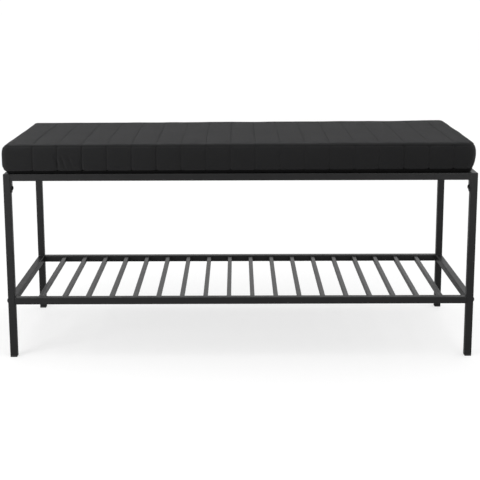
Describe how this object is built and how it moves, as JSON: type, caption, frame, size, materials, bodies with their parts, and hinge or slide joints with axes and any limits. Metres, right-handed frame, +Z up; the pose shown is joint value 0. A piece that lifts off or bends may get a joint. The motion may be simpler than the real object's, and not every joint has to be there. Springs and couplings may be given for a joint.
{
  "type": "entryway bench",
  "caption": "Black square-tube steel bench with a slatted shoe shelf and a loose channel-stitched box cushion.",
  "frame": {"origin": "on the floor, in the middle of the bench's length and depth", "axes": "+X along the bench's length to the right as seen from the front, +Y from the front to the back, +Z up"},
  "size_m": [1.006, 0.35, 0.4683],
  "materials": {
    "frame_steel": "satin",
    "slat_steel": "satin",
    "bolt_steel": "satin",
    "zinc_steel": "satin",
    "foot_plastic": "matte",
    "cushion_fabric": "matte",
    "foam": "matte",
    "zip_tape": "matte",
    "slider_metal": "satin"
  },
  "bodies": {
    "frame": {"front_left_leg": "frame_steel", "front_right_leg": "frame_steel", "rear_left_leg": "frame_steel", "rear_right_leg": "frame_steel", "front_left_foot": "foot_plastic", "front_right_foot": "foot_plastic", "rear_left_foot": "foot_plastic", "rear_right_foot": "foot_plastic", "left_top_side_rail": "frame_steel", "right_top_side_rail": "frame_steel", "left_lower_side_rail": "frame_steel", "right_lower_side_rail": "frame_steel", "front_top_rail": "frame_steel", "rear_top_rail": "frame_steel", "front_shelf_rail": "frame_steel", "rear_shelf_rail": "frame_steel", "front_left_end_plate": "frame_steel", "front_right_end_plate": "frame_steel", "rear_left_end_plate": "frame_steel", "rear_right_end_plate": "frame_steel", "rail_end_plugs": "zinc_steel", "leg_rivet_nuts": "zinc_steel", "top_rail_bolts": "bolt_steel", "shelf_rail_bolts": "bolt_steel", "shelf_slat_01": "slat_steel", "shelf_slat_02": "slat_steel", "shelf_slat_03": "slat_steel", "shelf_slat_04": "slat_steel", "shelf_slat_05": "slat_steel", "shelf_slat_06": "slat_steel", "shelf_slat_07": "slat_steel", "shelf_slat_08": "slat_steel", "shelf_slat_09": "slat_steel", "shelf_slat_10": "slat_steel", "shelf_slat_11": "slat_steel", "shelf_slat_12": "slat_steel", "shelf_slat_13": "slat_steel", "shelf_slat_14": "slat_steel", "shelf_slat_15": "slat_steel", "shelf_slat_16": "slat_steel", "shelf_slat_17": "slat_steel", "shelf_slat_18": "slat_steel", "seat_slat_01": "slat_steel", "seat_slat_02": "slat_steel", "seat_slat_03": "slat_steel", "seat_slat_04": "slat_steel", "seat_slat_05": "slat_steel", "seat_slat_06": "slat_steel", "seat_slat_07": "slat_steel", "seat_slat_08": "slat_steel", "seat_slat_09": "slat_steel"},
    "cushion": {"cushion_top_panel": "cushion_fabric", "cushion_bottom_panel": "cushion_fabric", "cushion_boxing": "cushion_fabric", "cushion_foam": "foam", "cushion_zip": "zip_tape"},
    "zip_slider": {"zip_slider": "slider_metal"}
  },
  "joints": [
    {"name": "cushion_lift", "type": "slide", "parent": "frame", "child": "cushion", "axis": [0, 0, 1], "range_m": [0, 0.15]},
    {"name": "zip_slide", "type": "slide", "parent": "cushion", "child": "zip_slider", "axis": [-1, 0, 0], "range_m": [0, 0.828]}
  ]
}
